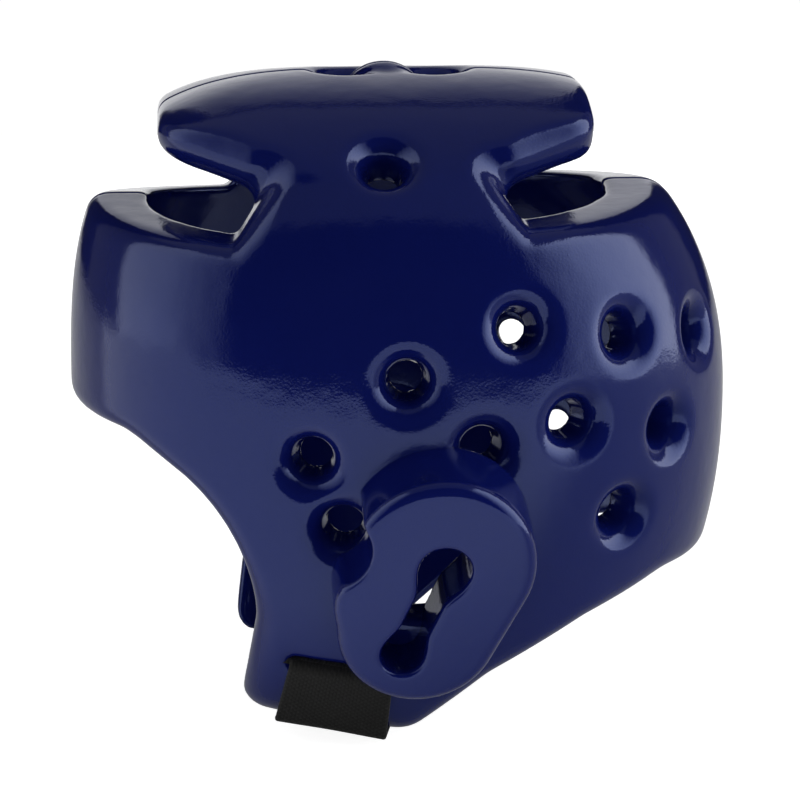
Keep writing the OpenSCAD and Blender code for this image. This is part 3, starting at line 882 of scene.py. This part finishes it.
SHELL_LOW = np.array([-3.0, -126.0, -112.0])
SHELL_HIGH = np.array([104.0, 124.0, 130.0])
shell_axes = field_axes(SHELL_LOW, SHELL_HIGH, SHELL_STEP)
shell = field_mesh(half_shell_field(*shell_axes), SHELL_LOW, SHELL_STEP)
add_both("shell", *shell, VINYL, ["vinyl_coat", "foam_core"])
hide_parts("front_seam_glue")


# Ear pads

def pad_world(u, v, w):
    return [PAD_FACE[k] + u * PAD_BACK[k] + v * PAD_UP[k] + w * PAD_AXIS[k] for k in range(3)]


def ear_pad_field(u, v, w):
    """The ear pad in its own frame: back, up and out from the middle of its face."""
    x, y, z = pad_world(u, v, w)
    corner = np.hypot(u - PAD_CORNER[0], v - PAD_CORNER[1]) - PAD_CORNER[2]
    side = round_min(two_circle_field(PAD_UPPER, PAD_LOWER, u, v), corner, PAD_CORNER_BLEND)
    pad = round_max(side, w, PAD_EDGE_RADIUS)
    lobes = np.minimum(np.hypot(u - SLOT_UPPER[0], v - SLOT_UPPER[1]) - SLOT_UPPER[2],
                       np.hypot(u - SLOT_LOWER[0], v - SLOT_LOWER[1]) - SLOT_LOWER[2])
    waist = two_circle_field((*SLOT_UPPER[:2], SLOT_WAIST / 2),
                             (*SLOT_LOWER[:2], SLOT_WAIST / 2 - WAIST_TAPER), u, v)
    pad = round_max(pad, -round_min(lobes, waist, SLOT_BLEND), PAD_SLOT_RADIUS)
    bite = np.hypot(u - PAD_BITE[0], v - PAD_BITE[1]) - PAD_BITE[2]
    pad = round_max(pad, -bite, PAD_BITE_RADIUS)
    return np.maximum(pad, -PAD_SINK - ray_distance(OUTER_RAYS, x, y, z))


PAD_LOW = np.array([-42.0, -52.0, -50.0])
PAD_HIGH = np.array([42.0, 50.0, 6.0])
pad_axes = field_axes(PAD_LOW, PAD_HIGH, PAD_STEP)
pad_points, pad_way, pad_faces = field_mesh(ear_pad_field(*pad_axes), PAD_LOW, PAD_STEP)
PAD_TURN = np.stack([PAD_BACK, PAD_UP, PAD_AXIS])
add_both("ear_pad", pad_points @ PAD_TURN + PAD_FACE, pad_way @ PAD_TURN, pad_faces, VINYL,
         ["ear_pad_coat", "ear_pad_core", "ear_pad_glue"])


# Strap: places in the strap's own frame, outwards and up from the cheek's lower edge

UNDER = STRAP_THICKNESS / 2 + PARTING_ROOM
STRAP_STAND = UNDER + STRAP_BOW
LIFT_HINGE = (SLOT_OUT + STRAP_STAND, SLOT_RISE)
FOLD_HINGE = (STRAP_STAND, -UNDER)
INNER_RUN = -WALL - STRAP_STAND
SLOT_INNER = SLOT_OUT + INNER_RUN
HOOK_LOW = STRAP_THICKNESS / 2 - UNDER
LOOP_LOW = HOOK_LOW + TAPE_THICKNESS + PARTING_ROOM
CROSS_HEIGHT = LOOP_LOW + TAPE_THICKNESS + STRAP_THICKNESS / 2
TAPE_START = INNER_RUN - 2 * STRAP_BEND
TAPE_END = TAPE_START - TAPE_LENGTH
TAB_END = TAPE_END - STRAP_BEND
SEWN_ROOM = 0.1
SEWN_HEIGHT = CROSS_HEIGHT - STRAP_THICKNESS - SEWN_ROOM
FOLD_RADIUS = 1.5
FOLD_ROOM = 2.4
STRAP_STEP = 0.8
BEND_STEPS = 10
RIBBON_LINES = 36
EDGE_POINTS = 5
RIPPLE = 0.12
RIPPLE_ALONG = 5.3
RIPPLE_ACROSS = 6.1
SHARP_TURN = math.radians(60)
EASE = 24


def strap_path(corners):
    """Evenly spaced points along rounded corners given as (out, up, radius), from the first to the last."""
    bends = np.array(rounded_outline(corners, BEND_STEPS))
    lengths = np.concatenate([[0.0], np.cumsum(np.linalg.norm(np.diff(bends, axis=0), axis=1))])
    at = np.linspace(0, lengths[-1], int(lengths[-1] / STRAP_STEP) + 1)
    return np.stack([np.interp(at, lengths, bends[:, k]) for k in range(2)], axis=1)


def strap_frames(path):
    """Points, and directions across and out of the face, along a path in the strap's frame."""
    way = np.gradient(path, axis=0)
    way /= np.linalg.norm(way, axis=1)[:, None]
    points = STRAP_FOOT + np.outer(path[:, 0], STRAP_TURN[:, 0]) + np.outer(path[:, 1], STRAP_TURN[:, 2])
    out = np.outer(-way[:, 1], STRAP_TURN[:, 0]) + np.outer(way[:, 0], STRAP_TURN[:, 2])
    across = np.repeat(STRAP_TURN[:, 1][None], len(path), axis=0)
    return points, across, out


def ribbon(name, frames, material, front, thickness=STRAP_THICKNESS, width=STRAP_WIDTH):
    """Flat webbing with round edges along frames; front says how far its front edge is drawn in, by point."""
    points, across, out = frames
    half = width / 2
    bend = thickness / 2
    flat = np.linspace(-half + bend, half - bend, RIBBON_LINES)
    face = np.full(RIBBON_LINES, bend)
    turns = np.linspace(-math.pi / 2, math.pi / 2, EDGE_POINTS + 2)[1:-1]
    edge = bend * np.cos(turns)
    rise = bend * np.sin(turns)
    side = np.concatenate([flat, half - bend + edge, flat[::-1], -half + bend - edge])
    lift = np.concatenate([-face, rise, face, -rise])
    length = np.concatenate([[0.0], np.cumsum(np.linalg.norm(np.diff(points, axis=0), axis=1))])
    loop = len(side)
    drawn = front[:, None] * (half - side)[None] / width
    ripple = RIPPLE * np.sin(length / RIPPLE_ALONG)[:, None] * np.cos(side / RIPPLE_ACROSS)[None]
    verts = (points[:, None] + (side[None] + drawn)[..., None] * across[:, None]
             + (lift[None] + ripple)[..., None] * out[:, None]).reshape(-1, 3)
    count = len(points)
    rows = np.arange(count - 1)[:, None] * loop
    here = np.arange(loop)[None]
    after = (here + 1) % loop
    near = rows + here
    far = rows + after
    faces = np.stack([near, far, far + loop, near + loop], axis=-1).reshape(-1, 4)
    mesh = bpy.data.meshes.new(name)
    last = (count - 1) * loop
    caps = [list(range(loop))[::-1], list(range(last, last + loop))]
    mesh.from_pydata((verts * MM).tolist(), [], faces.tolist() + caps)
    mesh.validate()
    shape = bmesh.new()
    shape.from_mesh(mesh)
    bmesh.ops.recalc_face_normals(shape, faces=shape.faces)
    shape.to_mesh(mesh)
    shape.free()
    weave = mesh.uv_layers.new(name="weave")
    places = np.stack([np.tile(side, count), np.repeat(length, loop)], axis=1)
    corner = np.zeros(len(mesh.loops), int)
    mesh.loops.foreach_get("vertex_index", corner)
    weave.data.foreach_set("uv", (places[corner] * MM).ravel())
    mesh.shade_smooth()
    mesh.set_sharp_from_angle(angle=SHARP_TURN)
    return add_object(name, mesh, material)


def eased(values, reach):
    """Values along a path, averaged over their neighbours."""
    padded = np.pad(values, [(reach, reach), (0, 0)], mode="edge")
    weight = np.hanning(2 * reach + 3)[1:-1]
    weight /= weight.sum()
    return np.stack([np.convolve(padded[:, k], weight, mode="valid") for k in range(values.shape[1])], axis=1)


def mirrored(frames):
    points, across, out = frames
    return points * MIRROR, across * MIRROR, out * MIRROR


def until_middle(frames):
    keep = frames[0][:, 0] > 0
    return tuple(part[keep] for part in frames)


# Chin strap: from the left slot across under the chin, then round the right cheek to its sewn end

left_run = until_middle(strap_frames(strap_path(
    [(LIFT_HINGE[0] - FOLD_ROOM, SLOT_RISE, 0), (SLOT_INNER, SLOT_RISE, STRAP_BEND),
     (INNER_RUN, CROSS_HEIGHT, STRAP_BEND), (-REACH, CROSS_HEIGHT, 0)])))
right_corners = [(-REACH, CROSS_HEIGHT, 0), (INNER_RUN, CROSS_HEIGHT, STRAP_BEND),
                 (SLOT_INNER, SLOT_RISE, STRAP_BEND), (*LIFT_HINGE, FOLD_RADIUS),
                 (*FOLD_HINGE, FOLD_RADIUS), (INNER_RUN, -UNDER, STRAP_BEND),
                 (TAPE_START, SEWN_HEIGHT, STRAP_BEND), (TAPE_END, SEWN_HEIGHT, 0)]
right_run = strap_frames(strap_path(right_corners))
crossing = int(np.argmax(right_run[0][:, 0] > 0))
right_run = mirrored(tuple(part[crossing:] for part in right_run))
chin_frames = [np.concatenate([a, b * turn]) for a, b, turn in zip(left_run, right_run, (1, 1, -1))]
middle = len(left_run[0])
near_middle = np.exp(-((np.arange(len(chin_frames[0])) - middle) / EASE) ** 2)[:, None]
chin_frames = [part * (1 - near_middle) + eased(part, EASE) * near_middle for part in chin_frames]
chin = ribbon("chin_strap_webbing", chin_frames, WEBBING, np.zeros(len(chin_frames[0])))
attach(chin, "guard")
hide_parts("chin_strap")


# Outer run and tab: one length of webbing, folded under the left cheek

run_frames = strap_frames(strap_path(
    [(LIFT_HINGE[0] - FOLD_ROOM, SLOT_RISE, 0), (*LIFT_HINGE, FOLD_RADIUS),
     (*FOLD_HINGE, FOLD_RADIUS), (TAB_END, -UNDER, 0)]))
RUN_LENGTH = math.dist(LIFT_HINGE, FOLD_HINGE)
run_along = np.arange(len(run_frames[0])) * STRAP_STEP
run_drawn = FRONT_DRAWN * np.clip(1 - (run_along - FOLD_ROOM) / RUN_LENGTH, 0, 1)
run = ribbon("strap_run_webbing", run_frames, WEBBING, run_drawn)
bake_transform(run)
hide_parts("strap_outer_run", "hook_tab")


# Hook and loop tapes

def tape(name, node, body, height, material):
    """Flat tape at a height in the strap's frame."""
    frames = strap_frames(strap_path([(TAPE_START, height, 0), (TAPE_END, height, 0)]))
    piece = ribbon(name, frames, material, np.zeros(len(frames[0])), TAPE_THICKNESS, STRAP_WIDTH - TAPE_INSET)
    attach(piece, body)
    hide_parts(node)


tape("hook_tape_strip", "hook_tape", "tab", HOOK_LOW + TAPE_THICKNESS / 2, HOOKS)
tape("loop_tape_strip", "loop_tape", "guard", LOOP_LOW + TAPE_THICKNESS / 2, LOOPS)


# Stitching

def stitch_shape():
    """One stitch along X, with round ends that dip into the cloth."""
    points = []
    faces = []
    for i in range(STITCH_RINGS):
        turn = math.pi * i / (STITCH_RINGS - 1)
        for j in range(STITCH_SIDES):
            angle = 2 * math.pi * j / STITCH_SIDES
            size = THREAD / 2 * math.sin(turn) ** 0.5
            along = -STITCH_LENGTH / 2 * math.cos(turn)
            points.append((along, size * math.cos(angle), size * math.sin(angle)))
    for i in range(STITCH_RINGS - 1):
        ring = i * STITCH_SIDES
        after = ring + STITCH_SIDES
        for j in range(STITCH_SIDES):
            k = (j + 1) % STITCH_SIDES
            faces.append((ring + j, after + j, after + k, ring + k))
    return np.array(points), np.array(faces)


def stitching(name, node, body, height, turn):
    """Two rows of stitches along a tape, on the left (turn 1) or on the right (turn MIRROR)."""
    shape, shape_faces = stitch_shape()
    row = STRAP_WIDTH / 2 - STITCH_MARGIN
    count = int((TAPE_START - TAPE_END - 2 * STITCH_MARGIN) / STITCH_PITCH)
    points = []
    faces = []
    for side in (-1, 1):
        for i in range(count + 1):
            faces.append(shape_faces + len(shape) * len(points))
            local = shape + (TAPE_START - STITCH_MARGIN - i * STITCH_PITCH, side * row, height)
            points.append((STRAP_FOOT + local @ STRAP_TURN.T) * turn)
    mesh = bpy.data.meshes.new(name)
    mesh.from_pydata((np.concatenate(points) * MM).tolist(), [], np.concatenate(faces).tolist())
    mesh.shade_smooth()
    piece = add_object(name, mesh, STITCHES)
    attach(piece, body)
    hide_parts(node)


FACE_OFF = STRAP_THICKNESS / 2 + THREAD / 2
stitching("tab_stitches", "hook_tape_stitching", "tab", -UNDER - FACE_OFF, 1)
stitching("strap_stitches", "loop_tape_stitching", "guard", CROSS_HEIGHT + FACE_OFF, 1)
stitching("right_stitches", "right_loop_stitching", "guard", SEWN_HEIGHT - FACE_OFF, MIRROR)


# Camera at the photograph's angle

CAMERA_BEARING = math.radians(86.0)
CAMERA_HEIGHT = math.radians(12.0)
CAMERA_DISTANCE = 1200.0
VIEW_WIDTH = 292.8
SENSOR_WIDTH = 36.0

camera_data = bpy.data.cameras.new("camera")
camera_data.sensor_width = SENSOR_WIDTH
camera_data.lens = SENSOR_WIDTH * CAMERA_DISTANCE / VIEW_WIDTH
camera = bpy.data.objects.new("camera", camera_data)
camera_way = Vector((math.sin(CAMERA_BEARING) * math.cos(CAMERA_HEIGHT),
                     -math.cos(CAMERA_BEARING) * math.cos(CAMERA_HEIGHT), math.sin(CAMERA_HEIGHT)))
camera.location = camera_way * CAMERA_DISTANCE * MM
camera.rotation_euler = (-camera_way).to_track_quat("-Z", "Y").to_euler()
bpy.context.collection.objects.link(camera)
bpy.context.scene.camera = camera


# Studio, in metres: a white floor, white cards before and behind the guard, and a dark side at the camera

FLOOR = -0.1085
FLOOR_END = 0.58
BACK = -1.6
SIDE = 1.5
CARD_LOW = -0.5
CARD_HIGH = 2.4
FRONT_CARD = (-0.36, 1.3)
REAR_CARD = (-0.26, 1.67)
BACKDROP_HALF = 0.5
BACKDROP_HIGH = 2.2
PALE = 0.6
DIM = 0.15
STAGE_ROUGHNESS = 0.9

FLOOR_WAY = (0.85, -0.5, 0)
FLOOR_FADE = (0.07, 0.16)
FLOOR_GLOW = (0.1, 0.78)
FLOOR_CAMERA_GLOW = 0.8
BACKDROP_FADE = 0.1
BACKDROP_GLOW = (0.55, 0.0)
FRONT_FADE = 0.2
FRONT_GLOW = (1.05, 0.15)
REAR_FADE = 0.3
REAR_GLOW = (2.8, 0.45)
FRONT_WALL_GLOW = 0.05
REAR_WALL_GLOW = 0.1
DARK_SIDE = 0.015


def matt(name, tone):
    """Matt white of a tone, and the socket for the strength of its white glow."""
    material, tree, surface = node_material(name)
    surface.inputs["Base Color"].default_value = (tone, tone, tone, 1)
    surface.inputs["Roughness"].default_value = STAGE_ROUGHNESS
    surface.inputs["Specular IOR Level"].default_value = 0.0
    surface.inputs["Emission Color"].default_value = (1, 1, 1, 1)
    return material, tree, surface.inputs["Emission Strength"]


def steady(name, strength):
    """Dim wall that glows evenly."""
    material, tree, glow = matt(name, DIM)
    glow.default_value = strength
    return material


def fading(name, way, start, end, near, far, camera_glow=0.0):
    """Pale white that glows from one strength to another along a way, and may glow more to the camera."""
    material, tree, glow = matt(name, PALE)
    measure = tree.nodes.new("ShaderNodeVectorMath")
    measure.operation = "DOT_PRODUCT"
    tree.links.new(object_place(tree), measure.inputs[0])
    measure.inputs[1].default_value = way
    fade = add_node(tree, "ShaderNodeMapRange", Value=measure.outputs["Value"],
                    From_Min=start, From_Max=end, To_Min=near, To_Max=far)
    fade.interpolation_type = "SMOOTHSTEP"
    strength = fade.outputs["Result"]
    if camera_glow > 0:
        seen = tree.nodes.new("ShaderNodeLightPath").outputs["Is Camera Ray"]
        strength = worked_out(tree, "MULTIPLY_ADD", seen, camera_glow, strength)
    tree.links.new(strength, glow)
    return material


def stage_plane(name, corners, material, seen=False):
    """Flat stage piece. The camera sees only the floor; the rest light the guard and show in its gloss."""
    mesh = bpy.data.meshes.new(name)
    mesh.from_pydata(corners, [], [(0, 1, 2, 3)])
    plane = add_object(name, mesh, material)
    plane.visible_camera = seen


def upright(y, start, end, low):
    return [(start, y, low), (end, y, low), (end, y, CARD_HIGH), (start, y, CARD_HIGH)]


stage_plane("floor", [(BACK, -SIDE, FLOOR), (FLOOR_END, -SIDE, FLOOR),
                      (FLOOR_END, SIDE, FLOOR), (BACK, SIDE, FLOOR)],
            fading("floor_white", FLOOR_WAY, *FLOOR_FADE, *FLOOR_GLOW, FLOOR_CAMERA_GLOW), True)
stage_plane("backdrop", [(BACK, -BACKDROP_HALF, FLOOR), (BACK, BACKDROP_HALF, FLOOR),
                         (BACK, BACKDROP_HALF, BACKDROP_HIGH), (BACK, -BACKDROP_HALF, BACKDROP_HIGH)],
            fading("backdrop_white", (0, 0, 1), BACKDROP_FADE, BACKDROP_HIGH, *BACKDROP_GLOW))
stage_plane("front_card", upright(-SIDE, *FRONT_CARD, CARD_LOW),
            fading("front_card_white", (1, 0, 0), FRONT_FADE, FRONT_CARD[1], *FRONT_GLOW))
stage_plane("rear_card", upright(SIDE, *REAR_CARD, CARD_LOW),
            fading("rear_card_white", (1, 0, 0), REAR_FADE, REAR_CARD[1], *REAR_GLOW))
stage_plane("front_wall", upright(-SIDE, BACK, FRONT_CARD[0], FLOOR),
            steady("front_wall_grey", FRONT_WALL_GLOW))
stage_plane("rear_wall", upright(SIDE, BACK, REAR_CARD[0], FLOOR),
            steady("rear_wall_grey", REAR_WALL_GLOW))


def soft_lamp(name, size, energy, place, seen_in_gloss):
    """Square lamp that faces the guard."""
    lamp_data = bpy.data.lights.new(name, "AREA")
    lamp_data.size = size
    lamp_data.energy = energy
    lamp = bpy.data.objects.new(name, lamp_data)
    lamp.location = place
    lamp.rotation_euler = (-place).to_track_quat("-Z", "Y").to_euler()
    lamp.visible_glossy = seen_in_gloss
    bpy.context.collection.objects.link(lamp)


soft_lamp("overhead", size=2.0, energy=2.5, place=Vector((0.0, 0.0, 1.6)), seen_in_gloss=True)
soft_lamp("fill", size=1.2, energy=4.0, place=1.5 * camera_way, seen_in_gloss=False)
soft_lamp("far_fill", size=1.2, energy=3.0, place=Vector((-1.4, 0.0, 0.5)), seen_in_gloss=False)

world = bpy.data.worlds.new("world")
bpy.context.scene.world = world
world.use_nodes = True
world_tree = world.node_tree
sky = world_tree.nodes["Background"]
sky.inputs["Color"].default_value = (1, 1, 1, 1)
seen = world_tree.nodes.new("ShaderNodeLightPath").outputs["Is Camera Ray"]
world_tree.links.new(worked_out(world_tree, "ADD", seen, DARK_SIDE), sky.inputs["Strength"])
bpy.context.scene.view_settings.view_transform = "Standard"
